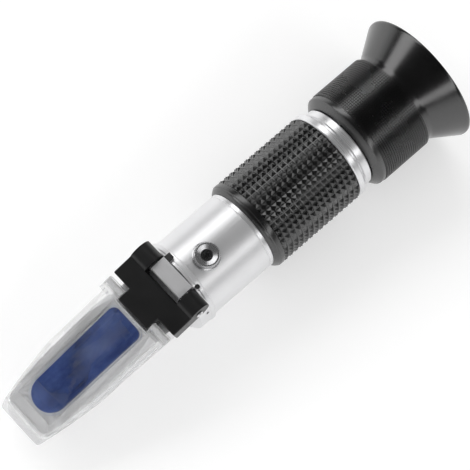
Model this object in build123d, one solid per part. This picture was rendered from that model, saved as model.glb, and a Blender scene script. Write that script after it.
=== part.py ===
from build123d import *
import os
from math import cos, pi, sin, sqrt, tan

# Hand-held optical refractometer: eyepiece, rubber grip, tube, prism head and hinged daylight plate.
# +X runs along the barrel from the eyecup's rim to the prism's nose, +Z is the side of the plate.
# The origin is the centre of the eyecup's rim. All sizes are in millimetres.

# Fits and clearances
running_fit = 0.05
running_gap = 0.3
edge_break = 0.3
joint_line = 0.15

# Main tube
tube_radius = 14.0
tube_wall = 2.0
tube_bare_length = 23.3
tube_bore = tube_radius - tube_wall

# Grip, with its pyramid knurl
grip_seat_step = 0.8
grip_thickness = 2.8
knurl_depth = 0.75
knurl_rows = 15
knurl_columns = 44
knurl_pitch = 2.16
knurl_tip_flat = 0.04
grip_collar_step = 0.2
grip_collar_length = 3.2
grip_collar_round = 1.3
grip_collar_groove = 0.3
rear_collar_length = 2.2
front_collar_proud = 0.05
front_collar_length = 1.5
grip_seat_radius = tube_radius - grip_seat_step
grip_tip_radius = grip_seat_radius + grip_thickness
grip_collar_radius = grip_tip_radius - grip_collar_step

# Eyepiece barrel with its locking band and groove
neck_radius = 13.0
neck_wall = 2.0
band_step = 0.45
band_length = 2.8
groove_depth = 0.55
groove_length = 1.1
barrel_spigot_length = 8.0
barrel_spigot_wall = 2.2
band_radius = tube_radius + band_step
neck_bore = neck_radius - neck_wall
barrel_spigot_bore = tube_bore - barrel_spigot_wall

# Focus ring
ring_wall = 4.35
ring_spigot_step = 2.4
ring_spigot_length = 4.0
ring_lip_length = 2.3
ring_lip_depth = 1.65
ring_knurl_length = 18.0
ring_groove_width = 0.5
ring_groove_depth = 0.35
ring_band_step = 0.25
ring_band_length = 1.4
ring_bevel_length = 1.9
ring_bevel_depth = 2.35
ring_bore = neck_radius + running_fit
ring_knurl_radius = ring_bore + ring_wall
ring_spigot_radius = ring_knurl_radius - ring_spigot_step
ring_band_radius = ring_knurl_radius - ring_band_step

# Eyecup
cup_rim_radius = 22.8
cup_wall = 1.7
cup_rim_edge = 1.0
cup_rim_rounding = 0.45
cup_flare_length = 10.8
cup_neck_wall = 1.5
cup_neck_length = 2.3
cup_throat_step = 1.0
cup_neck_radius = ring_spigot_radius + cup_neck_wall
cup_throat_radius = ring_spigot_radius - cup_throat_step

# Lens cell and its optics
cell_collar_step = 1.25
cell_collar_length = 2.5
cell_wall = 1.75
cell_seat_step = 1.2
cell_stop_length = 8.2
retainer_length = 1.5
eye_lens_edge = 1.4
eye_lens_dome_height = 1.2
spacer_length = 7.5
field_lens_edge = 1.6
field_lens_dome_height = 1.6
field_lens_front_dome_height = 0.5
lens_seat_margin = 0.15
focus_travel = 2.25
key_radius = 0.8
key_depth = 1.0
key_from_stop = 0.8
focus_seal_thickness = 1.1
focus_seal_from_front = 3.2
cell_radius = neck_bore - running_fit
cell_bore = cell_radius - cell_wall
cell_collar_radius = cell_radius + cell_collar_step
cell_opening = cell_bore - cell_seat_step
ring_lip_radius = cell_collar_radius + running_fit - ring_lip_depth

# Reticle
reticle_from_spigot = 9.0
reticle_cell_length = 7.0
reticle_cell_wall = 1.4
reticle_seat_step = 1.0
reticle_thickness = 1.5
reticle_ring_length = 2.0
reticle_radius = tube_bore - reticle_cell_wall
reticle_opening = reticle_radius - reticle_seat_step

# Calibration: boss, screw, lens carrier and its guide
screw_from_head = 6.7
screw_lean = 7.5
screw_head_radius = 1.85
screw_head_height = 2.2
screw_shaft_radius = 1.2
screw_socket_wall = 0.58
screw_socket_lobe = 0.32
screw_socket_depth = 1.3
screw_thread_reach = 3.3
seal_height = 0.6
boss_wall = 2.15
boss_base_step = 0.45
boss_base_height = 0.8
boss_height = 3.0
boss_dish_depth = 0.7
boss_dish_edge = 0.75
boss_stem_wall = 1.1
boss_floor = 0.8
guide_length = 8.4
guide_wall = 3.4
guide_cheek = 1.2
carrier_side_wall = 1.45
carrier_play = 0.72
carrier_floor = 1.5
strip_width = 5.0
strip_thickness = 0.5
strip_clearance = 1.6
strip_length = 27.0
strip_screw_head_radius = 0.9
strip_screw_head_height = 0.7
strip_screw_radius = 0.5
strip_screw_depth = 1.0
strip_screw_spacing = 2.8
objective_cell_wall = 1.1
objective_cell_flat = 0.5
objective_cell_length = 4.4
objective_lip_step = 0.7
objective_lip_length = 0.8
objective_edge = 1.6
objective_dome_height = 0.9
screw_run = screw_head_radius + running_fit
boss_radius = screw_run + boss_wall
boss_base_radius = boss_radius + boss_base_step
boss_stem_radius = screw_run + boss_stem_wall
screw_socket_radius = screw_head_radius - screw_socket_wall - screw_socket_lobe
guide_bore = tube_bore - guide_wall
carrier_thickness = guide_length - 2 * (guide_cheek + running_fit)
carrier_bottom = guide_bore - strip_clearance - strip_thickness
carrier_bore = carrier_bottom - carrier_floor
carrier_width = 2 * (carrier_bore + carrier_side_wall)
carrier_top = sqrt((tube_bore - carrier_play)**2 - (carrier_width / 2)**2)
objective_cell_radius = carrier_bottom + objective_cell_flat
objective_radius = objective_cell_radius - objective_cell_wall
objective_lip = objective_radius - objective_lip_step

# Prism head
flange_step = 0.8
flange_length = 1.8
head_step = 0.5
head_length = 5.9
head_chamfer_length = 1.8
head_chamfer_depth = 2.1
head_ledge = 0.6
head_spigot_length = 2.5
head_spigot_wall = 2.5
light_channel_radius = 4.0
light_stop_thickness = 1.2
light_stop_step = 0.5
tray_step = 1.6
tray_flat_depth = 0.8
tray_side_step = 3.7
tray_bend = 39.0
tray_bend_step = 0.1
tray_nose = 59.7
tray_nose_taper = 2.4
tray_nose_rounding = 2.0
tray_side_bow = 0.35
head_screw_radius = 0.8
head_screw_length = 1.8
head_screw_socket = 0.4
head_screw_from_flange = 1.1
head_screw_angle = 20.0
stop_length = 2.2
stop_width = 2.0
stop_depth = 2.4
stop_side = 5.35
stop_front = 1.4
stop_rise = 0.4
flange_screw_side = 7.0
flange_radius = tube_radius + flange_step
head_radius = tube_radius + head_step
head_spigot_bore = tube_bore - head_spigot_wall
tray_radius = tube_radius - tray_step
tray_rear_half_width = tube_radius - tray_side_step
tray_bend_half_width = tray_rear_half_width - tray_bend_step
tray_nose_half_width = tray_bend_half_width - tray_nose_taper
tray_flat_height = tray_radius - tray_flat_depth

# Hinge and its bracket, places measured from the hinge pin down the slope
slope_angle = 13.5
ear_radius = 4.0
ear_rise = 1.5
arm_step = 1.4
hinge_pin_radius = 1.25
hinge_pin_end = 0.6
lug_width = 12.8
lug_front = 1.4
lug_rear = 4.1
lug_height = 2.2
lug_front_chamfer = 0.4
ear_play = 0.75
washer_radius = 2.3
washer_gap = 0.12
bracket_side_step = 0.45
notch_room = 1.4
notch_sill_length = 0.35
notch_sill_depth = 2.1
crossbar_length = 7.05
stem_width = 13.0
stem_nose = 1.8
bracket_edge = 0.5
bracket_rib = 1.4
bracket_hollow_depth = 1.8
plate_pin_height = 1.3
plate_pin_radius = 0.8
knuckle_radius = 1.7
knuckle_room = 1.2
knuckle_side_gap = 0.2
pin_height = flange_radius + ear_rise - ear_radius
arm_top = ear_radius - arm_step
bracket_width = 2 * (tube_radius - bracket_side_step)
notch_width = lug_width + 2 * ear_play
notch_front = lug_front + notch_room
notch_sill_front = notch_front + notch_sill_length
bracket_shoulder = notch_sill_front + crossbar_length
plate_pin_place = bracket_shoulder + knuckle_room + knuckle_radius
stem_front = plate_pin_place + stem_nose

# Daylight plate, glass and seal, on the same slope
plate_gap = 0.5
plate_seat_height = 0.6
plate_thickness = 1.5
plate_skirt = 2.6
plate_side_gap = 0.7
plate_wall = 1.3
plate_tip_wall = 0.3
plate_nose_wall = 3.3
plate_side_bevel = 3.0
plate_bend_bevel = 3.2
plate_top_tip_step = 0.2
plate_top_bow = 0.1
plate_tip_bevel = 3.4
plate_tip_rounding = 1.2
window_from_stem = 1.9
window_from_nose = 4.6
window_rear_margin = 3.8
window_nose_margin = 1.8
window_rear_rounding = 2.3
window_lip_width = 0.9
window_lip_height = 0.4
seal_width = 0.8
seal_depth = 0.8
prism_rear_depth = 11.5
prism_nose_depth = 3.0
plate_rear = stem_front + plate_gap
plate_tip = tray_nose + running_gap + plate_nose_wall
window_rear = stem_front + window_from_stem
window_nose = tray_nose - window_from_nose
window_rear_half_width = tray_rear_half_width - window_rear_margin
window_nose_half_width = tray_nose_half_width - window_nose_margin

# Places along the barrel, each from the pieces before it
ring_rear = cup_flare_length + cup_neck_length
spigot_rear = ring_rear - ring_spigot_length
ring_front = ring_rear + ring_knurl_length + ring_groove_width + ring_band_length + ring_bevel_length
band_rear = ring_front + running_gap
band_front = band_rear + band_length
collar_rear = band_front + groove_length
grip_rear = collar_rear + rear_collar_length
grip_shoulder = grip_rear + knurl_rows * knurl_pitch
grip_front = grip_shoulder + grip_collar_length
tube_shoulder = grip_front + front_collar_length
head_rear = tube_shoulder + tube_bare_length
flange_front = head_rear + flange_length
head_front = flange_front + head_length
screw_place = head_rear - screw_from_head
room_rear = flange_front + head_ledge
pin_place = room_rear + running_gap + ear_radius
barrel_spigot_front = collar_rear + barrel_spigot_length

# Places inside the eyepiece
lip_front = spigot_rear + ring_lip_length
cell_rear = lip_front + running_gap
cell_collar_front = cell_rear + cell_collar_length
neck_rear = cell_collar_front + running_gap
eye_lens_rear = cell_rear + retainer_length
spacer_rear = eye_lens_rear + eye_lens_edge
field_lens_rear = spacer_rear + spacer_length
field_lens_front = field_lens_rear + field_lens_edge
cell_front = field_lens_front + cell_stop_length
key_place = field_lens_front + key_from_stop


def turned(points):
    # solid of revolution about the barrel's axis from a closed outline of (x, radius) points
    return revolve(Plane.XZ * make_face(Polyline(points, close=True)), Axis.X, 360)


def ring(start, end, inner, outer, edge=0.0):
    # plain ring on the barrel's axis, its outer edges broken by a chamfer
    points = [(start, inner), (start, outer - edge), (start + edge, outer), (end - edge, outer), (end, outer - edge), (end, inner)]
    if edge == 0.0:
        points = [(start, inner), (start, outer), (end, outer), (end, inner)]
    return turned(points)


def rod(start, end, radius):
    # round bar on the barrel's axis
    return Pos((start + end) / 2, 0, 0) * Rot(Y=90) * Cylinder(radius, end - start)


def cross_rod(radius, length):
    # round bar across the barrel, along Y
    return Rot(X=90) * Cylinder(radius, length)


def on_slope(shape):
    # from the hinge pin's own frame, X down the slope and Z square to it, to the barrel's frame
    return Pos(pin_place, 0, pin_height) * Rot(Y=slope_angle) * shape


def on_screw(shape):
    # from the calibration screw's own frame, Z outward along the screw, to the barrel's frame
    return Rot(X=-screw_lean) * Pos(screw_place, 0, 0) * shape


def upright(radius, low, high):
    # round bar along Z between two heights
    return Pos(0, 0, (low + high) / 2) * Cylinder(radius, high - low)


def slab(x0, x1, half_width, z0, z1):
    # block between two stations, centred on Y
    return Pos((x0 + x1) / 2, 0, (z0 + z1) / 2) * Box(x1 - x0, 2 * half_width, z1 - z0)


def lens(rear, edge, rear_bulge, front_bulge, radius, clear):
    # round lens on the barrel's axis: two domes inside the clear radius, flat seats outside it
    front = rear + edge
    outline = Curve() + [
        ThreePointArc((front + front_bulge, 0), dome_point(front, front_bulge, clear), (front, clear)),
        Polyline((front, clear), (front, radius), (rear, radius), (rear, clear)),
        ThreePointArc((rear, clear), dome_point(rear, -rear_bulge, clear), (rear - rear_bulge, 0)),
        Line((rear - rear_bulge, 0), (front + front_bulge, 0)),
    ]
    return revolve(Plane.XZ * make_face(outline), Axis.X, 360)


def dome_point(place, bulge, radius):
    # point at half the lens radius on the circle through the dome's crown and rim
    curve = (radius * radius + bulge * bulge) / (2 * abs(bulge))
    sag = curve - sqrt(curve * curve - radius * radius / 4)
    side = 1 if bulge > 0 else -1
    return (place + bulge - side * sag, radius / 2)


def outline_face(rear, rear_half, bend, bend_half, tip, tip_half, bow, rounding):
    # plan of the cover or tray: nearly straight to the bend, then bowed to a tip with rounded corners
    middle = (bend + tip) / 2
    middle_half = (bend_half + tip_half) / 2 + bow
    outline = Curve() + [
        Polyline((bend, bend_half), (rear, rear_half), (rear, -rear_half), (bend, -bend_half)),
        ThreePointArc((bend, -bend_half), (middle, -middle_half), (tip, -tip_half)),
        Line((tip, -tip_half), (tip, tip_half)),
        ThreePointArc((tip, tip_half), (middle, middle_half), (bend, bend_half)),
    ]
    face = make_face(outline)
    return fillet(face.vertices().sort_by(Axis.X)[-2:], rounding)


def window_face(grow=0.0):
    # plan of the glass: rounded corners at the hinge, a full round at the nose
    points = [
        (window_rear - grow, -window_rear_half_width - grow),
        (window_nose + grow, -window_nose_half_width - grow),
        (window_nose + grow, window_nose_half_width + grow),
        (window_rear - grow, window_rear_half_width + grow),
    ]
    face = make_face(Polyline(points, close=True))
    rear_corners = face.vertices().sort_by(Axis.X)[:2]
    face = fillet(rear_corners, window_rear_rounding + grow)
    nose_corners = face.vertices().sort_by(Axis.X)[-2:]
    return fillet(nose_corners, window_nose_half_width + grow - 0.15)


# Eyepiece group

def eyecup():
    profile = make_face(Polyline([
        (0, cup_rim_radius - cup_wall),
        (0, cup_rim_radius),
        (cup_rim_edge, cup_rim_radius),
        (cup_flare_length, cup_neck_radius),
        (ring_rear, cup_neck_radius),
        (ring_rear, ring_spigot_radius),
        (spigot_rear, ring_spigot_radius),
        (spigot_rear, cup_throat_radius),
    ], close=True))
    rim = profile.vertices().sort_by(Axis.X)[:2]
    profile = fillet(rim, cup_rim_rounding)
    return revolve(Plane.XZ * profile, Axis.X, 360)


def focus_ring():
    knurl_front = ring_rear + ring_knurl_length
    band_start = knurl_front + ring_groove_width
    band_end = band_start + ring_band_length
    collar_run = cell_collar_radius + running_fit
    return turned([
        (spigot_rear, ring_lip_radius),
        (spigot_rear, ring_spigot_radius),
        (ring_rear, ring_spigot_radius),
        (ring_rear, ring_knurl_radius - edge_break),
        (ring_rear + edge_break, ring_knurl_radius),
        (knurl_front, ring_knurl_radius),
        (knurl_front, ring_knurl_radius - ring_groove_depth),
        (band_start, ring_knurl_radius - ring_groove_depth),
        (band_start, ring_band_radius),
        (band_end, ring_band_radius),
        (ring_front, ring_band_radius - ring_bevel_depth),
        (ring_front, ring_bore),
        (cell_collar_front, ring_bore),
        (cell_collar_front, collar_run),
        (lip_front, collar_run),
        (lip_front, ring_lip_radius),
    ])


def lens_cell():
    body = turned([
        (cell_rear, cell_bore),
        (cell_rear, cell_collar_radius),
        (cell_collar_front, cell_collar_radius),
        (cell_collar_front, cell_radius),
        (cell_front, cell_radius),
        (cell_front, cell_opening),
        (field_lens_front, cell_opening),
        (field_lens_front, cell_bore),
    ])
    # guide slot for the key, as long as the focusing travel
    slot_half = key_radius + running_fit
    slot_rear = key_place - slot_half
    slot_front = key_place + focus_travel + slot_half
    slot = slab(slot_rear, slot_front, slot_half, -neck_bore, -cell_radius + key_depth)
    return body - slot


def lens_retainer():
    return ring(cell_rear, eye_lens_rear, cell_opening, cell_bore)


def eye_lens():
    clear = cell_opening - lens_seat_margin
    return lens(eye_lens_rear, eye_lens_edge, eye_lens_dome_height, eye_lens_dome_height, cell_bore, clear)


def lens_spacer():
    return ring(spacer_rear, field_lens_rear, cell_opening, cell_bore)


def field_lens():
    clear = cell_opening - lens_seat_margin
    return lens(field_lens_rear, field_lens_edge, field_lens_dome_height, field_lens_front_dome_height, cell_bore, clear)


def eyepiece_barrel():
    body = turned([
        (neck_rear, neck_bore),
        (neck_rear, neck_radius - edge_break),
        (neck_rear + edge_break, neck_radius),
        (band_rear, neck_radius),
        (band_rear, band_radius - edge_break),
        (band_rear + edge_break, band_radius),
        (band_front - edge_break, band_radius),
        (band_front, band_radius - edge_break),
        (band_front, band_radius - groove_depth),
        (collar_rear, band_radius - groove_depth),
        (collar_rear, tube_bore),
        (barrel_spigot_front, tube_bore),
        (barrel_spigot_front, barrel_spigot_bore),
        (band_rear, barrel_spigot_bore),
        (band_rear, neck_bore),
    ])
    key_hole = Pos(key_place, 0, -(neck_bore + neck_radius) / 2) * Cylinder(key_radius, neck_radius)
    key_hole = key_hole & slab(neck_rear, band_rear, neck_radius, -neck_radius, -cell_bore)
    seal_place = ring_front - focus_seal_from_front
    seal_half = focus_seal_thickness / 2
    groove = ring(seal_place - seal_half, seal_place + seal_half, neck_radius - focus_seal_thickness, neck_radius + 1)
    return body - key_hole - groove


def focus_key():
    low = -(neck_radius - running_fit)
    high = -(neck_bore - running_fit - key_depth + running_fit)
    return Pos(key_place, 0, 0) * upright(key_radius, low, high)


def focus_seal():
    half = focus_seal_thickness / 2
    section = Pos(ring_front - focus_seal_from_front, neck_radius - half) * Circle(half)
    return revolve(Plane.XZ * section, Axis.X, 360)


# Tube and grip

def main_tube():
    body = turned([
        (collar_rear, tube_bore),
        (collar_rear, grip_seat_radius),
        (tube_shoulder, grip_seat_radius),
        (tube_shoulder, tube_radius - joint_line),
        (tube_shoulder + joint_line, tube_radius),
        (head_rear, tube_radius),
        (head_rear, tube_bore),
    ])
    return body - on_screw(upright(boss_stem_radius, tube_bore - 1, tube_radius + 1))


def rear_collar():
    return ring(collar_rear, grip_rear, grip_seat_radius, grip_collar_radius, edge_break)


def front_collar():
    return ring(grip_front, tube_shoulder, grip_seat_radius, tube_radius + front_collar_proud, joint_line)


def grip_sleeve():
    # star of sharp ribs along the barrel, crossed by a saw-toothed comb at every rib: square pyramids
    root = grip_tip_radius - knurl_depth
    step = 2 * pi / knurl_columns
    star = []
    for i in range(knurl_columns):
        star.append((grip_tip_radius * cos(i * step), grip_tip_radius * sin(i * step)))
        valley = root / cos(step / 2)
        star.append((valley * cos((i + 0.5) * step), valley * sin((i + 0.5) * step)))
    section = make_face(Polyline(star, close=True)) - Circle(grip_seat_radius)
    ribs = Pos(grip_rear, 0, 0) * extrude(Plane.YZ * section, grip_shoulder - grip_rear)
    saw = [(grip_rear - 1, root), (grip_rear, root)]
    for row in range(knurl_rows):
        start = grip_rear + row * knurl_pitch
        saw += [(start + knurl_pitch / 2, grip_tip_radius - knurl_tip_flat), (start + knurl_pitch, root)]
    saw += [(grip_shoulder + 1, root), (grip_shoulder + 1, grip_tip_radius + 1), (grip_rear - 1, grip_tip_radius + 1)]
    comb = extrude(Plane.XZ * make_face(Polyline(saw, close=True)), root * tan(step / 2), both=True)
    pyramids = ribs - [Rot(X=90 + i * 360 / knurl_columns) * comb for i in range(knurl_columns)]
    # smooth rounded collar at the front, with a shallow groove
    middle = grip_shoulder + 0.6 * grip_collar_length
    front_start = grip_front - grip_collar_round
    collar = turned([
        (grip_shoulder, grip_seat_radius),
        (grip_shoulder, grip_collar_radius - grip_collar_groove),
        (grip_shoulder + edge_break, grip_collar_radius),
        (middle - edge_break, grip_collar_radius),
        (middle, grip_collar_radius - grip_collar_groove),
        (front_start, grip_collar_radius - grip_collar_groove / 2),
        (grip_front - edge_break, grip_collar_radius - grip_collar_round + 2 * edge_break),
        (grip_front, grip_collar_radius - grip_collar_round),
        (grip_front, grip_seat_radius),
    ])
    return pyramids + collar


def reticle_place():
    return barrel_spigot_front + reticle_from_spigot


def reticle_cell():
    start = reticle_place()
    seat = start + reticle_cell_length - reticle_thickness - reticle_ring_length
    end = start + reticle_cell_length
    return turned([
        (start, reticle_opening), (start, tube_bore), (end, tube_bore),
        (end, reticle_radius), (seat, reticle_radius), (seat, reticle_opening),
    ])


def reticle_glass():
    end = reticle_place() + reticle_cell_length - reticle_ring_length
    return rod(end - reticle_thickness, end, reticle_radius)


def reticle_ring():
    end = reticle_place() + reticle_cell_length
    return ring(end - reticle_ring_length, end, reticle_opening, reticle_radius)


# Calibration group, in the screw's own frame

def boss_top():
    return tube_radius + boss_height


def screw_head_floor():
    return tube_bore + boss_floor + seal_height


def calibration_boss():
    outer = revolve(Plane.XZ * make_face(Polyline([
        (0, tube_bore),
        (boss_stem_radius, tube_bore),
        (boss_stem_radius, tube_radius - 1),
        (boss_base_radius, tube_radius - 1),
        (boss_base_radius, tube_radius + boss_base_height),
        (boss_radius, tube_radius + boss_base_height + edge_break),
        (boss_radius, boss_top() - edge_break),
        (boss_radius - edge_break, boss_top()),
        (boss_radius - boss_dish_edge, boss_top()),
        (screw_run, boss_top() - boss_dish_depth),
        (0, boss_top() - boss_dish_depth),
    ], close=True)), Axis.Z, 360)
    # saddle on the tube round the stem, and the stem's foot along the tube's bore
    saddle = Rot(Y=90) * (Cylinder(tube_radius, 4 * boss_base_radius) - Cylinder(tube_bore, 4 * boss_base_radius))
    saddle -= upright(boss_stem_radius, tube_bore - 1, tube_radius + 1)
    inside = Rot(Y=90) * Cylinder(tube_bore, 4 * boss_base_radius)
    bore = upright(screw_run, tube_bore + boss_floor, boss_top() + 1)
    hole = upright(screw_shaft_radius + running_fit, tube_bore - 1, boss_top())
    return on_screw(outer - saddle - inside - bore - hole)


def calibration_seal():
    low = tube_bore + boss_floor
    shape = upright(screw_head_radius, low, low + seal_height)
    return on_screw(shape - upright(screw_shaft_radius + running_fit, low - 1, low + seal_height + 1))


def calibration_screw():
    low = carrier_top - screw_thread_reach
    floor = screw_head_floor()
    top = floor + screw_head_height
    shape = upright(screw_shaft_radius, low, floor) + upright(screw_head_radius, floor, top)
    socket = upright(screw_socket_radius, top - screw_socket_depth, top + 1)
    lobe = Pos(screw_socket_radius, 0, 0) * upright(screw_socket_lobe, top - screw_socket_depth, top + 1)
    lobes = [Rot(Z=60 * i) * lobe for i in range(6)]
    return on_screw(shape - socket - lobes)


def carrier_guide():
    body = Rot(Y=90) * (Cylinder(tube_bore, guide_length) - Cylinder(guide_bore, guide_length))
    slot_half = carrier_thickness / 2 + running_fit
    # cross slot between the two cheeks, open at the top and the bottom
    return on_screw(body - slab(-slot_half, slot_half, carrier_width / 2 + running_fit, -tube_bore - 1, tube_bore + 1))


def lens_carrier():
    half = carrier_thickness / 2
    block = slab(-half, half, carrier_width / 2, -carrier_bottom, carrier_top)
    block = fillet(block.edges().filter_by(Axis.X), edge_break)
    block -= Rot(Y=90) * Cylinder(carrier_bore, 2 * carrier_thickness)
    block -= upright(screw_shaft_radius + running_fit, carrier_bore - 1, carrier_top + 1)
    return on_screw(block - strip_screw_shafts())


def strip_screw_places():
    return [-strip_screw_spacing / 2, strip_screw_spacing / 2]


def strip_screw_shafts():
    low = -carrier_bottom - strip_thickness
    shaft = upright(strip_screw_radius, low, -carrier_bottom + strip_screw_depth)
    return [Pos(place, 0, 0) * shaft for place in strip_screw_places()]


def strip_screws():
    low = -carrier_bottom - strip_thickness
    head = upright(strip_screw_head_radius, low - strip_screw_head_height, low)
    heads = [Pos(place, 0, 0) * head for place in strip_screw_places()]
    return on_screw(Part() + [shaft + top for shaft, top in zip(strip_screw_shafts(), heads)])


def bimetal_strip():
    front = carrier_thickness / 2
    strip = slab(front - strip_length, front, strip_width / 2, -carrier_bottom - strip_thickness, -carrier_bottom)
    return on_screw(strip - strip_screw_shafts())


def objective_rear():
    return carrier_thickness / 2 - strip_length


def objective_cell():
    rear = objective_rear()
    front = rear + objective_cell_length
    body = turned([
        (rear, objective_lip), (rear, objective_cell_radius), (front, objective_cell_radius),
        (front, objective_radius), (rear + objective_lip_length, objective_radius), (rear + objective_lip_length, objective_lip),
    ])
    return on_screw(body & slab(rear, front, objective_cell_radius, -carrier_bottom, objective_cell_radius))


def objective_lens():
    rear = objective_rear() + objective_lip_length
    clear = objective_lip - lens_seat_margin
    return on_screw(lens(rear, objective_edge, objective_dome_height, objective_dome_height, objective_radius, clear))


def light_stop():
    return ring(head_rear - light_stop_thickness, head_rear, light_channel_radius - light_stop_step, head_spigot_bore)


# Prism head

def head_screw_bars(radius, length):
    # two bars into the sides of the head, one from the left and one from the right
    place = flange_front + head_screw_from_flange
    bar = Rot(X=90) * Cylinder(radius, length)
    return [Rot(X=side * head_screw_angle) * Pos(place, side * (head_radius - length / 2), 0) * bar for side in (-1, 1)]


def rim_screw_bar(radius, low, high):
    # bar down into the ledge of the head, behind the ear and beside the lug
    return Pos(room_rear - head_screw_radius - running_fit, flange_screw_side, 0) * upright(radius, low, high)


def rim_screw_top():
    return sqrt(head_radius**2 - (flange_screw_side - head_screw_radius)**2)


def stop_block(rise):
    top = flange_radius + stop_rise
    return slab(
        flange_front + stop_front - stop_length, flange_front + stop_front, stop_width / 2, top - stop_depth, top + rise)


def hinge_stop():
    return Pos(0, -stop_side, 0) * stop_block(0)


def prism_housing():
    flange = ring(head_rear, flange_front, 0.01, flange_radius, edge_break)
    chamfer_start = head_front - head_chamfer_length
    head = turned([
        (flange_front, 0.01), (flange_front, head_radius), (chamfer_start, head_radius),
        (head_front, head_radius - head_chamfer_depth), (head_front, 0.01),
    ])
    # tray: the sloping plan drawn down, kept inside the round of the barrel and flat underneath
    plan = outline_face(
        0, tray_rear_half_width, tray_bend, tray_bend_half_width, tray_nose, tray_nose_half_width, tray_side_bow,
        tray_nose_rounding)
    tray = on_slope(Pos(0, 0, plate_seat_height) * extrude(plan, -3 * tray_radius))
    tray = tray & rod(flange_front, pin_place + plate_tip, tray_radius)
    body = flange + head + tray
    body -= slab(head_rear, pin_place + plate_tip, 2 * tray_radius, -2 * tray_radius, -tray_flat_height) & rod(
        head_front, pin_place + plate_tip, tray_radius + 1)
    # room for the bracket, cut parallel to the slope
    floor = -ear_radius - running_gap
    room_front = stem_front + running_gap + plate_gap
    room = on_slope(slab(-2 * ear_radius, room_front, bracket_width, floor, 4 * ear_radius))
    body -= room & slab(room_rear, pin_place + 2 * stem_front, bracket_width, -tray_radius, 2 * tray_radius)
    # hinge lug between the ears, flat on top with a bevelled front edge, and the round of the head behind it
    lug = slab(-lug_rear, lug_front, lug_width / 2, 2 * floor, lug_height)
    lug = chamfer(lug.edges().filter_by(Axis.Y).sort_by(Axis.Z)[-2:].sort_by(Axis.X)[-1:], lug_front_chamfer)
    body += on_slope(lug)
    body += rod(flange_front, pin_place, head_radius) & slab(flange_front, pin_place - lug_rear, lug_width / 2, 0, head_radius)
    # spigot in the tube, light channel and prism pocket
    body += ring(head_rear - head_spigot_length, head_rear, head_spigot_bore, tube_bore)
    body -= rod(head_rear - 1, pin_place + window_rear * cos(slope_angle * pi / 180), light_channel_radius)
    body -= prism_solid()
    body -= on_slope(seal_solid())
    body -= on_slope(cross_rod(hinge_pin_radius, 2 * bracket_width))
    body -= head_screw_bars(head_screw_radius, head_screw_length)
    body -= rim_screw_bar(head_screw_radius, rim_screw_top() - head_screw_length, flange_radius + 1)
    return body - Pos(0, -stop_side, 0) * stop_block(1)


def head_screws():
    bars = head_screw_bars(head_screw_radius, head_screw_length)
    sockets = head_screw_bars(head_screw_socket, head_screw_length / 2)
    side = [bar - socket for bar, socket in zip(bars, sockets)]
    top = rim_screw_top()
    rim = rim_screw_bar(head_screw_radius, top - head_screw_length, top)
    rim -= rim_screw_bar(head_screw_socket, top - head_screw_length / 2, top + 1)
    return Part() + side + [rim]


def seal_solid():
    outer = window_face(seal_width)
    return Pos(0, 0, plate_seat_height) * extrude(outer - window_face(), -seal_depth)


def prism_seal():
    return on_slope(seal_solid())


def prism_solid():
    top = plate_seat_height
    block = Pos(0, 0, top) * extrude(window_face(), -prism_rear_depth)
    wedge = extrude(Plane.XZ * make_face(Polyline([
        (window_rear, top), (window_nose, top), (window_nose, top - prism_nose_depth), (window_rear, top - prism_rear_depth),
    ], close=True)), window_rear_half_width, both=True)
    return on_slope(block & wedge)


def main_prism():
    return prism_solid()


def hinge_pin():
    length = bracket_width + 2 * hinge_pin_end
    pin = cross_rod(hinge_pin_radius, length)
    return on_slope(chamfer(pin.edges(), edge_break))


def hinge_washers():
    thickness = (notch_width - lug_width) / 2 - washer_gap
    washer = cross_rod(washer_radius, thickness) - cross_rod(hinge_pin_radius, thickness)
    place = lug_width / 2 + thickness / 2
    return on_slope(Part() + [Pos(0, side * place, 0) * washer for side in (-1, 1)])


# Cover group, in the hinge pin's own frame

def hinge_bracket():
    half = bracket_width / 2
    plan = make_face(Polyline([
        (0, -half), (bracket_shoulder, -half), (bracket_shoulder, -stem_width / 2), (stem_front, -stem_width / 2),
        (stem_front, stem_width / 2), (bracket_shoulder, stem_width / 2), (bracket_shoulder, half), (0, half),
    ], close=True))
    corners = [v for v in plan.vertices() if v.X > bracket_shoulder + 1 or (v.X > 1 and abs(v.Y) > stem_width)]
    body = Pos(0, 0, -ear_radius) * extrude(fillet(corners, bracket_edge), ear_radius + arm_top)
    rims = body.faces().sort_by(Axis.Z)[-1].edges().filter_by(lambda edge: edge.center().X > 0.1)
    body = chamfer(rims, bracket_edge / 2)
    body += cross_rod(ear_radius, bracket_width)
    # notch between the ears, with a sill in front of the lug
    body -= slab(-2 * ear_radius, notch_front, notch_width / 2, -2 * ear_radius, 2 * ear_radius)
    body -= slab(0, notch_sill_front, notch_width / 2, arm_top - notch_sill_depth, 2 * ear_radius)
    # hollow of the moulding from underneath
    hollow_rear = notch_sill_front + bracket_rib
    hollow = slab(hollow_rear, stem_front - bracket_rib, stem_width / 2 - bracket_rib, -2 * ear_radius, -ear_radius + bracket_hollow_depth)
    body -= hollow
    body -= cross_rod(hinge_pin_radius + running_fit, 2 * bracket_width)
    body -= Pos(plate_pin_place, 0, plate_pin_height) * cross_rod(plate_pin_radius, 2 * bracket_width)
    return on_slope(body)


def plate_pin():
    length = bracket_width - 2 * edge_break
    return on_slope(Pos(plate_pin_place, 0, plate_pin_height) * cross_rod(plate_pin_radius, length))


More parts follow.
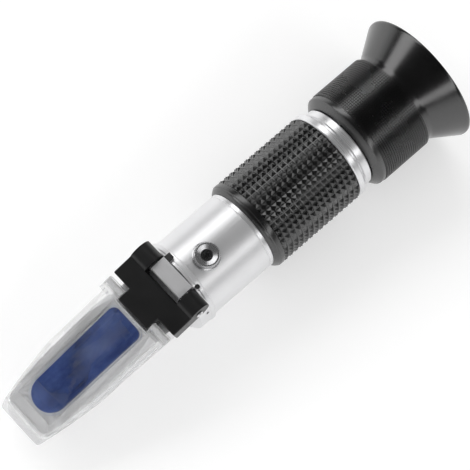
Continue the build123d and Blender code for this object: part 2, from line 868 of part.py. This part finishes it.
def daylight_plate():
    top = plate_seat_height + plate_thickness
    low = plate_seat_height - plate_skirt
    rear_half = tray_rear_half_width + plate_side_gap + plate_wall
    bend_half = tray_bend_half_width + plate_side_gap + plate_wall
    tip_half = tray_nose_half_width + running_gap + plate_tip_wall
    slant = plate_tip_bevel / (top - low)
    # skirt up to the seat's height, then broad side bevels up to the top face, the tip slanted all the way
    base = outline_face(plate_rear, rear_half, tray_bend, bend_half, plate_tip, tip_half, tray_side_bow, plate_tip_rounding)
    edge = outline_face(
        plate_rear, rear_half, tray_bend, bend_half, plate_tip - slant * plate_skirt, tip_half + plate_top_tip_step,
        tray_side_bow, plate_tip_rounding)
    crown = outline_face(
        plate_rear, rear_half - plate_side_bevel, tray_bend, bend_half - plate_bend_bevel, plate_tip - plate_tip_bevel,
        tip_half + plate_top_tip_step, plate_top_bow, plate_tip_rounding)
    shell = loft([Pos(0, 0, low) * base, Pos(0, 0, plate_seat_height) * edge], ruled=True)
    shell += loft([Pos(0, 0, plate_seat_height) * edge, Pos(0, 0, top) * crown], ruled=True)
    # cavity over the tray, with a gap on every side
    cavity = outline_face(
        0, tray_rear_half_width + plate_side_gap, tray_bend, tray_bend_half_width + plate_side_gap, tray_nose + running_gap,
        tray_nose_half_width + running_gap, tray_side_bow, tray_nose_rounding)
    shell -= Pos(0, 0, plate_seat_height) * extrude(cavity, -2 * plate_skirt)
    # raised lip round the window
    lip = extrude(window_face(window_lip_width) - window_face(), window_lip_height)
    shell += Pos(0, 0, top) * lip
    # two knuckles on webs, one at each side of the stem
    inner = stem_width / 2 + knuckle_side_gap
    width = bracket_width / 2 - inner - knuckle_side_gap
    knuckle = cross_rod(knuckle_radius, width)
    web = slab(plate_pin_place, plate_rear + 1, width / 2, plate_seat_height, top)
    for side in (-1, 1):
        place = side * (inner + width / 2)
        shell += Pos(plate_pin_place, place, plate_pin_height) * knuckle
        shell += Pos(0, place, 0) * web
    bore = Pos(plate_pin_place, 0, plate_pin_height) * cross_rod(plate_pin_radius + running_fit, 2 * bracket_width)
    return on_slope(shell - bore)


pieces = {
    "eyecup": eyecup,
    "focus_ring": focus_ring,
    "lens_cell": lens_cell,
    "lens_retainer": lens_retainer,
    "eye_lens": eye_lens,
    "lens_spacer": lens_spacer,
    "field_lens": field_lens,
    "eyepiece_barrel": eyepiece_barrel,
    "focus_key": focus_key,
    "focus_seal": focus_seal,
    "main_tube": main_tube,
    "rear_collar": rear_collar,
    "grip_sleeve": grip_sleeve,
    "front_collar": front_collar,
    "reticle_cell": reticle_cell,
    "reticle_glass": reticle_glass,
    "reticle_ring": reticle_ring,
    "calibration_boss": calibration_boss,
    "calibration_seal": calibration_seal,
    "calibration_screw": calibration_screw,
    "carrier_guide": carrier_guide,
    "lens_carrier": lens_carrier,
    "bimetal_strip": bimetal_strip,
    "strip_screws": strip_screws,
    "objective_cell": objective_cell,
    "objective_lens": objective_lens,
    "light_stop": light_stop,
    "prism_housing": prism_housing,
    "prism_seal": prism_seal,
    "main_prism": main_prism,
    "head_screws": head_screws,
    "hinge_stop": hinge_stop,
    "hinge_pin": hinge_pin,
    "hinge_washers": hinge_washers,
    "hinge_bracket": hinge_bracket,
    "plate_pin": plate_pin,
    "daylight_plate": daylight_plate,
}

os.makedirs("parts", exist_ok=True)
for name, make in pieces.items():
    export_step(make(), f"parts/{name}.step")
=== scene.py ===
import bpy
import bmesh
from math import sin, cos, radians, pi, sqrt
from mathutils import Matrix, Vector


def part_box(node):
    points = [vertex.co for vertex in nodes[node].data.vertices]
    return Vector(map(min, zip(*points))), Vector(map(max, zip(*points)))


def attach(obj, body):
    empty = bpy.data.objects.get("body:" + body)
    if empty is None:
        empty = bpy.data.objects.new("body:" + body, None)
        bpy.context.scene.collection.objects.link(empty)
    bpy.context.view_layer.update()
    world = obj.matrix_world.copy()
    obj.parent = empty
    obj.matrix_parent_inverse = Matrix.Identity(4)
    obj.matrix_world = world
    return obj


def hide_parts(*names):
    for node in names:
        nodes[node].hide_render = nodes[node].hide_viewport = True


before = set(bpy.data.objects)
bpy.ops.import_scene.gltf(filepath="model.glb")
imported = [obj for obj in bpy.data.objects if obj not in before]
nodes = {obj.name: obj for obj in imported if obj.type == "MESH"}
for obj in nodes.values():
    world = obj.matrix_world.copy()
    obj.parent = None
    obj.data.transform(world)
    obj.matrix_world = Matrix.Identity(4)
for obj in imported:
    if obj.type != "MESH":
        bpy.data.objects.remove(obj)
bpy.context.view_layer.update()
print("frame loaded:", len(nodes), "nodes")

mm = 0.001


# camera, lamps, room and floor

camera = {
    "focal": 194.55,        # mm
    "sensor": 36,           # mm
    "distance": 790.0,      # mm from the middle of the barrel
    "station": 80.05,       # mm from the eyecup rim
    "picture turn": 40.7,   # degrees the barrel climbs across the picture
    "tilt": 14.5,           # degrees the eyecup end falls away
    "roll": 12.0,           # degrees the plate side turns to the upper left
    "offset": 0.31,         # mm the barrel passes below the middle
    "clip": (0.05, 10),     # m
}


def cameraAxes():
    turn, tilt, roll = (radians(camera[k]) for k in ("picture turn", "tilt", "roll"))
    across = Vector((cos(turn), sin(turn), 0))
    beside = Vector((-sin(turn), cos(turn), 0))
    toViewer = Vector((0, 0, 1))
    toCup = cos(tilt) * across - sin(tilt) * toViewer
    top = cos(roll) * (sin(tilt) * across + cos(tilt) * toViewer) + sin(roll) * beside
    x, z = -toCup, top
    y = z.cross(x)
    # rows are the part's axes seen by the camera, columns the camera's axes in the part's frame
    return Matrix((x, y, z)), across, beside


viewAxes, acrossBarrel, besideBarrel = cameraAxes()


def placeCamera():
    data = bpy.data.cameras.new("camera")
    data.lens = camera["focal"]
    data.sensor_width = camera["sensor"]
    data.clip_start, data.clip_end = camera["clip"]
    view = bpy.data.objects.new("camera", data)
    bpy.context.scene.collection.objects.link(view)
    shift = viewAxes @ (besideBarrel * camera["offset"])
    place = Vector((camera["station"], 0, 0)) + viewAxes @ Vector((0, 0, camera["distance"])) + shift
    view.matrix_world = Matrix.Translation(place * mm) @ viewAxes.to_4x4()
    bpy.context.scene.camera = view


placeCamera()

# soft strips beside the camera, long way of each along the barrel: degrees to the side, mm, and
# a level that is how bright the strip itself looks
lamps = {
    "upperStrip": {"side": 60, "away": 700, "along": 60, "size": (1300, 330), "level": 2.3},
    "lowerStrip": {"side": -43, "away": 700, "along": 60, "size": (1300, 190), "level": 2.1},
}


def placeLamps():
    middle = Vector((camera["station"], 0, 0)) * mm
    for name, lamp in lamps.items():
        turn = radians(lamp["side"])
        out = sin(turn) * besideBarrel + cos(turn) * Vector((0, 0, 1))
        place = middle + viewAxes @ (out * lamp["away"] + acrossBarrel * lamp["along"]) * mm
        data = bpy.data.lights.new(name, "AREA")
        data.shape = "RECTANGLE"
        data.size, data.size_y = (s * mm for s in lamp["size"])
        data.energy = lamp["level"] * pi * data.size * data.size_y
        light = bpy.data.objects.new(name, data)
        bpy.context.scene.collection.objects.link(light)
        back = (place - middle).normalized()
        longWay = (viewAxes @ acrossBarrel).cross(back).cross(back).normalized()
        turned = Matrix((longWay, back.cross(longWay), back)).transposed()
        light.matrix_world = Matrix.Translation(place) @ turned.to_4x4()


placeLamps()

studio = {
    "ceiling": 0.035,           # overhead in reflections
    "soft": 0.56,               # added where the room lights the shade and the clear pieces
    "white": 0.90,              # the horizon past the floor's edge
    "horizon": (0.10, 0.22),    # how steeply a ray climbs where that white starts and ends to fade
    "floor white": 0.66,
    "floor glow": 0.41,
    "floor reach": 2.5,         # m to each side
    "floor gap": 0.2,           # mm under the part
}
background = ("Is Camera Ray", "Is Glossy Ray", "Is Transmission Ray")


def mathNode(tree, operation, *values):
    # each value is a number or the output of another node
    made = tree.nodes.new("ShaderNodeMath")
    made.operation = operation
    for socket, value in zip(made.inputs, values):
        if isinstance(value, (int, float)):
            socket.default_value = value
        else:
            tree.links.new(value, socket)
    return made.outputs[0]


def seenBy(tree, *kinds):
    # 1 where any of the named rays looks, 0 for the others
    path = tree.nodes.new("ShaderNodeLightPath")
    total = path.outputs[kinds[0]]
    for kind in kinds[1:]:
        total = mathNode(tree, "MAXIMUM", total, path.outputs[kind])
    return total


def makeWorld():
    world = bpy.data.worlds.new("studio")
    bpy.context.scene.world = world
    world.use_nodes = True
    tree = world.node_tree
    room = tree.nodes["Background"]
    room.inputs["Color"].default_value = (1, 1, 1, 1)
    # the soft room fills the shade and the clear pieces, under a ceiling that is dim in reflections
    softRays = seenBy(tree, "Is Diffuse Ray", "Is Transmission Ray")
    fill = mathNode(tree, "MULTIPLY_ADD", softRays, studio["soft"], studio["ceiling"])
    # past the floor's edge stands a white horizon, the same for the camera, metal and glass
    way = tree.nodes.new("ShaderNodeTexCoord")
    apart = tree.nodes.new("ShaderNodeSeparateXYZ")
    tree.links.new(way.outputs["Generated"], apart.inputs[0])
    horizon = tree.nodes.new("ShaderNodeMapRange")
    horizon.inputs["From Min"].default_value, horizon.inputs["From Max"].default_value = studio["horizon"]
    horizon.inputs["To Min"].default_value = studio["white"]
    horizon.inputs["To Max"].default_value = 0
    tree.links.new(apart.outputs["Z"], horizon.inputs["Value"])
    strength = mathNode(tree, "MULTIPLY_ADD", seenBy(tree, *background), horizon.outputs[0], fill)
    tree.links.new(strength, room.inputs["Strength"])


makeWorld()


def floorPaint():
    paint = bpy.data.materials.new("floorPaint")
    paint.use_nodes = True
    tree = paint.node_tree
    tree.nodes.clear()
    out = tree.nodes.new("ShaderNodeOutputMaterial")
    matt = tree.nodes.new("ShaderNodeBsdfDiffuse")
    glow = tree.nodes.new("ShaderNodeEmission")
    add = tree.nodes.new("ShaderNodeAddShader")
    matt.inputs["Color"].default_value = (studio["floor white"],) * 3 + (1,)
    glow.inputs["Color"].default_value = (1, 1, 1, 1)
    strength = mathNode(tree, "MULTIPLY", seenBy(tree, *background), studio["floor glow"])
    tree.links.new(strength, glow.inputs["Strength"])
    tree.links.new(matt.outputs[0], add.inputs[0])
    tree.links.new(glow.outputs[0], add.inputs[1])
    tree.links.new(add.outputs[0], out.inputs["Surface"])
    return paint


def makeFloor():
    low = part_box("eyecup")[0]
    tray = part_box("prism_housing")
    # the part leans on the cup's rim and on the nose of the prism tray
    run = Vector((tray[1].x, 0, tray[0].z)) - Vector((low.x, 0, low.z))
    angle = Vector((run.x, run.z)).angle_signed(Vector((1, 0)))
    mesh = bpy.data.meshes.new("floor")
    bm = bmesh.new()
    bmesh.ops.create_grid(bm, x_segments=1, y_segments=1, size=studio["floor reach"])
    bmesh.ops.rotate(bm, verts=bm.verts, cent=(0, 0, 0), matrix=Matrix.Rotation(-angle, 3, "Y"))
    bmesh.ops.translate(bm, verts=bm.verts, vec=(low.x, 0, low.z - studio["floor gap"] * mm))
    bm.to_mesh(mesh)
    bm.free()
    floor = bpy.data.objects.new("floor", mesh)
    bpy.context.scene.collection.objects.link(floor)
    mesh.materials.append(floorPaint())


makeFloor()
bpy.context.scene.view_settings.view_transform = "Standard"
print("camera, lamps and floor placed")


# finishes

class Finish:
    # a material with its coordinate, so that each finish below reads as a short list
    def __init__(self, name, rounding=0):
        self.material = bpy.data.materials.new(name)
        self.material.use_nodes = True
        self.tree = self.material.node_tree
        self.shader = self.tree.nodes["Principled BSDF"]
        self.place = self.tree.nodes.new("ShaderNodeTexCoord").outputs["Object"]
        self.bumpEnd = None
        if rounding:
            # edges of the solids catch the light as if they were broken with a fine file
            soft = self.node("ShaderNodeBevel", samples=6, Radius=rounding * mm)
            self.bumpEnd = soft.outputs[0]
            self.link(self.bumpEnd, self.shader.inputs["Normal"])

    def node(self, kind, **values):
        made = self.tree.nodes.new(kind)
        for key, value in values.items():
            if hasattr(made, key):
                setattr(made, key, value)
            else:
                made.inputs[key].default_value = value
        return made

    def link(self, a, b):
        self.tree.links.new(a, b)

    def noise(self, scale, stretch=(1, 1, 1), detail=4.0, roughness=0.55):
        # scale counts grains for each metre
        turn = self.node("ShaderNodeMapping")
        turn.inputs["Scale"].default_value = stretch
        self.link(self.place, turn.inputs["Vector"])
        grain = self.node("ShaderNodeTexNoise", Scale=scale, Detail=detail, Roughness=roughness)
        self.link(turn.outputs[0], grain.inputs["Vector"])
        return grain.outputs["Fac"]

    def ramp(self, source, *stops):
        ramp = self.node("ShaderNodeValToRGB")
        band = ramp.color_ramp
        while len(band.elements) < len(stops):
            band.elements.new(0.5)
        for element, (place, colour) in zip(band.elements, stops):
            element.position = place
            element.color = (*colour, 1)
        self.link(source, ramp.inputs[0])
        return ramp.outputs[0]

    def spread(self, source, low, high, start=0.3, end=0.7):
        between = self.node("ShaderNodeMapRange")
        for name, value in (("From Min", start), ("From Max", end), ("To Min", low), ("To Max", high)):
            between.inputs[name].default_value = value
        self.link(source, between.inputs["Value"])
        return between.outputs[0]

    def bump(self, source, height):
        # height in millimetres
        made = self.node("ShaderNodeBump", Strength=1.0, Distance=height * mm)
        self.link(source, made.inputs["Height"])
        if self.bumpEnd:
            self.link(self.bumpEnd, made.inputs["Normal"])
        self.bumpEnd = made.outputs[0]
        self.link(self.bumpEnd, self.shader.inputs["Normal"])

    def set(self, **values):
        for key, value in values.items():
            self.shader.inputs[key.replace("_", " ")].default_value = value

    def colour(self, source):
        self.link(source, self.shader.inputs["Base Color"])

    def rough(self, source):
        self.link(source, self.shader.inputs["Roughness"])


def metalFinish(name, dark, light, rough, grain=900, stretch=(1, 1, 1), height=0.004, metallic=1.0,
                rounding=0):
    f = Finish(name, rounding)
    fine = f.noise(grain, stretch)
    broad = f.noise(60, detail=3)
    f.colour(f.ramp(broad, (0.3, dark), (0.7, light)))
    f.rough(f.spread(fine, *rough))
    f.bump(fine, height)
    f.set(Metallic=metallic)
    return f.material


def rubberFinish(name, dark, light, rough, grain=1800, height=0.01, gloss=0.5, ior=1.5):
    f = Finish(name)
    fine = f.noise(grain, detail=3)
    broad = f.noise(90, detail=4)
    f.colour(f.ramp(broad, (0.3, dark), (0.7, light)))
    f.rough(f.spread(broad, *rough))
    f.bump(fine, height)
    f.set(Specular_IOR_Level=gloss, IOR=ior)
    return f.material


def clearFinish(name, tint, rough, ior):
    f = Finish(name)
    f.rough(f.spread(f.noise(120, detail=3), *rough))
    f.bump(f.noise(400, detail=2), 0.003)
    f.set(Base_Color=(*tint, 1), Transmission_Weight=1.0, IOR=ior)
    return f.material


jetDark, jetLight = (0.003, 0.003, 0.0031), (0.005, 0.005, 0.0052)

# name, darker and lighter colour, range of roughness, then what differs from the plain finish
finishes = {
    "tube_aluminium": metalFinish(
        "satinTube", (0.82, 0.82, 0.83), (0.87, 0.87, 0.88), (0.36, 0.42),
        grain=2600, stretch=(1, 0.1, 0.1), height=0.0006, metallic=0.68),
    "bright_aluminium": metalFinish(
        "brightTurned", (0.80, 0.80, 0.81), (0.87, 0.87, 0.88), (0.26, 0.34),
        grain=5200, stretch=(1, 0.02, 0.02), height=0.0008, metallic=0.76),
    "head_metal": metalFinish(
        "headMetal", (0.78, 0.78, 0.79), (0.86, 0.86, 0.87), (0.28, 0.44),
        grain=3600, stretch=(1, 0.05, 1), height=0.0012, metallic=0.62),
    "grip_rubber": rubberFinish(
        "gripRubber", jetDark, jetLight, (0.22, 0.32), height=0.003, gloss=1.0, ior=1.55),
    "cup_rubber": rubberFinish(
        "cupRubber", jetDark, (0.007, 0.007, 0.0075), (0.18, 0.24),
        grain=2400, height=0.002, gloss=1.0, ior=1.54),
    "black_ring": rubberFinish(
        "blackRing", jetDark, jetLight, (0.24, 0.32), grain=2400, height=0.002, gloss=1.0, ior=1.58),
    "black_inside": rubberFinish("blackInside", (0.006, 0.006, 0.006), (0.012, 0.012, 0.012), (0.6, 0.8)),
    "inner_aluminium": metalFinish("innerMetal", (0.50, 0.50, 0.52), (0.62, 0.62, 0.64), (0.3, 0.4)),
    "lens_glass": clearFinish("lensGlass", (0.95, 0.97, 0.98), (0.0, 0.02), ior=1.52),
    "seal_compound": rubberFinish("sealBead", (0.70, 0.72, 0.76), (0.82, 0.83, 0.86), (0.35, 0.5)),
    "seal_rubber": rubberFinish("sealRubber", (0.018, 0.018, 0.018), (0.03, 0.03, 0.03), (0.5, 0.6)),
    "boss_chrome": metalFinish(
        "bossChrome", (0.50, 0.50, 0.51), (0.60, 0.60, 0.61), (0.22, 0.30),
        grain=3000, height=0.0006, metallic=0.85, rounding=0.15),
    "dark_screw": metalFinish(
        "darkScrew", (0.24, 0.24, 0.245), (0.34, 0.34, 0.345), (0.22, 0.34), grain=3000, rounding=0.1),
    "steel": metalFinish(
        "pinSteel", (0.62, 0.62, 0.63), (0.72, 0.72, 0.73), (0.12, 0.2), grain=3000, height=0.001),
    "strip_brass": metalFinish("stripMetal", (0.62, 0.48, 0.26), (0.74, 0.60, 0.36), (0.25, 0.35)),
    "hinge_plastic": rubberFinish(
        "hingeBlack", (0.0065, 0.0065, 0.0068), (0.0085, 0.0085, 0.0089), (0.34, 0.42),
        grain=2600, height=0.002, gloss=0.6),
}


def blueGlass():
    f = Finish("blueGlass")
    broad = f.noise(95, (1, 1.8, 1), detail=6, roughness=0.62)
    deep, middle, pale = (0.060, 0.096, 0.29), (0.092, 0.148, 0.41), (0.140, 0.210, 0.50)
    f.colour(f.ramp(broad, (0.34, deep), (0.5, middle), (0.66, pale)))
    f.rough(f.spread(f.noise(300), 0.45, 0.6))
    f.set(Specular_IOR_Level=0.05)
    return f.material


plateWindow = {
    "hinge": (108.4, 0, 12.3),      # mm, where the plate's own slope starts
    "slope": 13.5,                  # degrees
    "middle": 36.0, "half length": 19.6, "half width": 6.9,
    "edge": 0.7,                    # mm over which the painted pale veil starts
    # how far the painted pale veil whitens the margins
    "painted veil": 0.25,
}


def clearPlate():
    # water clear over the window; the margins and the skirt get a pale veil, painted light standing in for
    # the bright tray seen through the clear plastic
    f = Finish("clearPlate")
    turn = f.node("ShaderNodeMapping", vector_type="TEXTURE")
    turn.inputs["Location"].default_value = Vector(plateWindow["hinge"]) * mm
    turn.inputs["Rotation"].default_value = (0, radians(plateWindow["slope"]), 0)
    f.link(f.place, turn.inputs["Vector"])
    apart = f.node("ShaderNodeSeparateXYZ")
    f.link(turn.outputs[0], apart.inputs[0])
    spans = ((plateWindow["middle"], plateWindow["half length"]), (0, plateWindow["half width"]))
    sides = []
    for place, (middle, half) in zip(apart.outputs, spans):
        away = mathNode(f.tree, "ABSOLUTE", mathNode(f.tree, "SUBTRACT", place, middle * mm))
        sides.append(f.spread(away, 0, 1, half * mm, (half + plateWindow["edge"]) * mm))
    outside = mathNode(f.tree, "MAXIMUM", *sides)
    clearness = f.spread(outside, 1, 1 - plateWindow["painted veil"], 0, 1)
    f.link(clearness, f.shader.inputs["Transmission Weight"])
    f.rough(f.spread(f.noise(120, detail=3), 0.03, 0.06))
    f.set(Base_Color=(0.985, 0.987, 0.99, 1), IOR=1.43)
    return f.material


finishes["prism_glass"] = blueGlass()
finishes["clear_plastic"] = clearPlate()

for node, piece in nodes.items():
    for slot in piece.material_slots:
        key = slot.material.name.split(".")[0]
        if key in finishes:
            slot.material = finishes[key]
        else:
            print("no finish for", node, key)
print("finishes given:", len(finishes))


# turned and knurled pieces

def spinProfile(bm, profile, steps):
    # profile is a closed list of (place, radius, rounding) in millimetres, turned about the barrel
    corners = [bm.verts.new((x * mm, 0, r * mm)) for x, r, rounding in profile]
    bm.faces.new(corners)
    for corner, (x, r, rounding) in zip(corners, profile):
        if rounding:
            bmesh.ops.bevel(bm, geom=[corner], affect="VERTICES", offset=rounding * mm,
                            offset_type="OFFSET", segments=4, profile=0.5, material=-1, clamp_overlap=True)
    bmesh.ops.delete(bm, geom=list(bm.faces), context="FACES_ONLY")
    outline = list(bm.verts) + list(bm.edges)
    bmesh.ops.spin(bm, geom=outline, cent=(0, 0, 0), axis=(1, 0, 0), dvec=(0, 0, 0), angle=2 * pi,
                   steps=steps, use_merge=True, use_duplicate=False, use_normal_flip=False)
    bmesh.ops.remove_doubles(bm, verts=bm.verts, dist=1e-7)
    bmesh.ops.recalc_face_normals(bm, faces=bm.faces)


def knurlTooth(knurl, pitchAlong, pitchRound):
    # one small pyramid with a blunt tip, sunk a little way into the floor of the knurl
    tooth = bmesh.new()
    corner = sqrt(0.5)
    bmesh.ops.create_cone(tooth, cap_ends=True, segments=4, radius1=corner, radius2=knurl["tip"] * corner,
                          depth=1.0, matrix=Matrix.Rotation(pi / 4, 4, "Z"))
    bmesh.ops.translate(tooth, verts=tooth.verts, vec=(0, 0, 0.5))
    length = pitchAlong - knurl["valley"]
    width = pitchRound - knurl["valley"]
    height = knurl["height"] + knurl["sunk"]
    bmesh.ops.scale(tooth, verts=tooth.verts, vec=(length * mm, width * mm, height * mm))
    base = [f for f in tooth.faces if f.normal.z < -0.5]
    bmesh.ops.delete(tooth, geom=base, context="FACES_ONLY")
    if knurl["blunt"]:
        ridges = [e for e in tooth.edges if len(e.link_faces) == 2]
        bmesh.ops.bevel(tooth, geom=ridges, affect="EDGES", offset=knurl["blunt"] * mm,
                        offset_type="OFFSET", segments=2, profile=0.5, material=-1, clamp_overlap=True)
    place = (knurl["start"] + pitchAlong / 2, 0, knurl["floor"] - knurl["sunk"])
    bmesh.ops.translate(tooth, verts=tooth.verts, vec=Vector(place) * mm)
    return tooth


def addKnurl(bm, knurl):
    # the tooth is copied along the barrel, and that row then round it
    pitchAlong = (knurl["end"] - knurl["start"]) / knurl["rows"]
    pitchRound = 2 * pi * knurl["floor"] / knurl["columns"]
    tooth = knurlTooth(knurl, pitchAlong, pitchRound)
    single = list(tooth.verts) + list(tooth.edges) + list(tooth.faces)
    for row in range(1, knurl["rows"]):
        copied = bmesh.ops.duplicate(tooth, geom=single)["geom"]
        points = [v for v in copied if isinstance(v, bmesh.types.BMVert)]
        bmesh.ops.translate(tooth, verts=points, vec=(row * pitchAlong * mm, 0, 0))
    column = list(tooth.verts) + list(tooth.edges) + list(tooth.faces)
    turns = knurl["columns"] - 1
    bmesh.ops.spin(tooth, geom=column, cent=(0, 0, 0), axis=(1, 0, 0), dvec=(0, 0, 0),
                   angle=2 * pi * turns / knurl["columns"], steps=turns, use_merge=False,
                   use_duplicate=True)
    part = bpy.data.meshes.new("teeth")
    tooth.to_mesh(part)
    tooth.free()
    bm.from_mesh(part)
    bpy.data.meshes.remove(part)


def finishPiece(name, bm, finish, body, stands, sharp):
    # sharp is the angle in degrees past which an edge stays hard
    mesh = bpy.data.meshes.new(name)
    bm.to_mesh(mesh)
    bm.free()
    mesh.shade_smooth()
    mesh.set_sharp_from_angle(angle=radians(sharp))
    mesh.materials.append(finishes[finish])
    piece = bpy.data.objects.new(name, mesh)
    bpy.context.scene.collection.objects.link(piece)
    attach(piece, body)
    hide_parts(*stands)
    return piece


grip = {
    "start": 41.3, "end": 73.7, "rows": 15, "columns": 44,
    "floor": 15.18, "height": 0.82, "valley": 0.26, "tip": 0.05, "blunt": 0.07, "sunk": 0.03,
    "bore": 13.2,
    "collar": 15.85, "collar back": 73.6, "collar front": 75.4,
    "groove": 75.6, "groove radius": 15.5,
    "nose": 76.0, "nose radius": 15.4, "front": 76.9, "front radius": 14.45,
    "steps": 176,
}


def makeGrip():
    bm = bmesh.new()
    spinProfile(bm, [
        (grip["start"], grip["bore"], 0),
        (grip["start"], grip["floor"], 0.2),
        (grip["collar back"], grip["floor"], 0),
        (grip["collar back"], grip["collar"], 0.3),
        (grip["collar front"], grip["collar"], 0.25),
        (grip["groove"], grip["groove radius"], 0.1),
        (grip["nose"], grip["nose radius"], 0.5),
        (grip["front"], grip["front radius"], 0.2),
        (grip["front"], grip["bore"], 0),
    ], grip["steps"])
    addKnurl(bm, grip)
    finishPiece("gripSleeve", bm, "grip_rubber", "barrel", ["grip_sleeve"], sharp=25)


makeGrip()

# where the cup is pushed over the focus ring
cupSeat = {"back": 9.1, "front": 13.1, "radius": 15.0}

focusRing = {
    "start": 13.3, "end": 31.0, "rows": 22, "columns": 134,
    "floor": 16.95, "height": 0.41, "valley": 0.06, "tip": 0.72, "blunt": 0, "sunk": 0.03,
    "crest": 17.36,                                 # rims at both ends of the knurl
    "rim end": 31.15,
    "groove end": 31.6, "groove radius": 17.02,
    "band end": 33.0, "band radius": 17.15,
    "front": 34.9, "front radius": 14.8,
    "bore": 13.05, "bore end": 14.2,                # over the neck of the barrel
    "relief": 12.3, "relief end": 11.4,
    "opening": 10.65,                               # what the eye looks through
    "steps": 192,
}


def makeFocusRing():
    bm = bmesh.new()
    spinProfile(bm, [
        (cupSeat["back"], focusRing["opening"], 0),
        (cupSeat["back"], cupSeat["radius"], 0),
        (cupSeat["front"], cupSeat["radius"], 0),
        (cupSeat["front"], focusRing["floor"], 0),
        (cupSeat["front"], focusRing["crest"], 0.08),
        (focusRing["start"], focusRing["crest"], 0.05),
        (focusRing["start"], focusRing["floor"], 0),
        (focusRing["end"], focusRing["floor"], 0),
        (focusRing["end"], focusRing["crest"], 0.05),
        (focusRing["rim end"], focusRing["crest"], 0.05),
        (focusRing["rim end"], focusRing["groove radius"], 0),
        (focusRing["groove end"], focusRing["groove radius"], 0),
        (focusRing["groove end"], focusRing["band radius"], 0.08),
        (focusRing["band end"], focusRing["band radius"], 0.3),
        (focusRing["front"], focusRing["front radius"], 0.3),
        (focusRing["front"], focusRing["bore"], 0),
        (focusRing["bore end"], focusRing["bore"], 0),
        (focusRing["bore end"], focusRing["relief"], 0),
        (focusRing["relief end"], focusRing["relief"], 0),
        (focusRing["relief end"], focusRing["opening"], 0),
    ], focusRing["steps"])
    addKnurl(bm, focusRing)
    finishPiece("focusRing", bm, "black_ring", "focus", ["focus_ring"], sharp=25)


makeFocusRing()

eyecup = {
    "rim": 22.8, "wall": 1.7, "lip": 1.0,
    "bell end": 10.8, "neck": 16.5, "throat": 14.0,
    "steps": 192,
}


def makeEyecup():
    bm = bmesh.new()
    spinProfile(bm, [
        (0, eyecup["rim"] - eyecup["wall"], 0.4),
        (0, eyecup["rim"], 0.45),
        (eyecup["lip"], eyecup["rim"], 0.3),
        (eyecup["bell end"], eyecup["neck"], 0.6),
        (cupSeat["front"], eyecup["neck"], 0.15),
        (cupSeat["front"], cupSeat["radius"], 0),
        (cupSeat["back"], cupSeat["radius"], 0),
        (cupSeat["back"], eyecup["throat"], 0.1),
    ], eyecup["steps"])
    finishPiece("eyecupBell", bm, "cup_rubber", "focus", ["eyecup"], sharp=30)


makeEyecup()
print("turned and knurled pieces made")

# head, arm, cover and prism keep the solids' forms, with their edges broken this many millimetres
brokenEdges = {
    "prismHead": {"node": "prism_housing", "finish": "head_metal", "body": "barrel", "broken": 0.22},
    "hingeArm": {"node": "hinge_bracket", "finish": "hinge_plastic", "body": "cover", "broken": 0.3},
    "clearCover": {"node": "daylight_plate", "finish": "clear_plastic", "body": "plate", "broken": 0.12},
    "bluePrism": {"node": "main_prism", "finish": "prism_glass", "body": "barrel", "broken": 0.08},
}
# points nearer than so many mm are joined, and angles in degrees say what is flat and what is an edge
edgeWork = {"join": 0.002, "flat": 0.03, "edge": 40, "sharp": 50}


def makeBroken():
    for name, form in brokenEdges.items():
        bm = bmesh.new()
        bm.from_mesh(nodes[form["node"]].data)
        bmesh.ops.remove_doubles(bm, verts=bm.verts, dist=edgeWork["join"] * mm)
        bmesh.ops.dissolve_limit(bm, angle_limit=radians(edgeWork["flat"]), use_dissolve_boundaries=False,
                                 verts=bm.verts, edges=bm.edges, delimit={"NORMAL"})
        shared = [e for e in bm.edges if len(e.link_faces) == 2]
        corners = [e for e in shared if e.calc_face_angle() > radians(edgeWork["edge"])]
        bmesh.ops.bevel(bm, geom=corners, affect="EDGES", offset=form["broken"] * mm,
                        offset_type="OFFSET", segments=2, profile=0.5, material=-1, clamp_overlap=True)
        bmesh.ops.recalc_face_normals(bm, faces=bm.faces)
        openEdges = sum(1 for e in bm.edges if len(e.link_faces) != 2)
        print(name, "open edges:", openEdges, "faces:", len(bm.faces))
        piece = finishPiece(name, bm, form["finish"], form["body"], [form["node"]], edgeWork["sharp"])
        # wide faces keep their own direction beside a broken edge
        flats = piece.modifiers.new("flats", "WEIGHTED_NORMAL")
        flats.keep_sharp = True


makeBroken()

print("done")
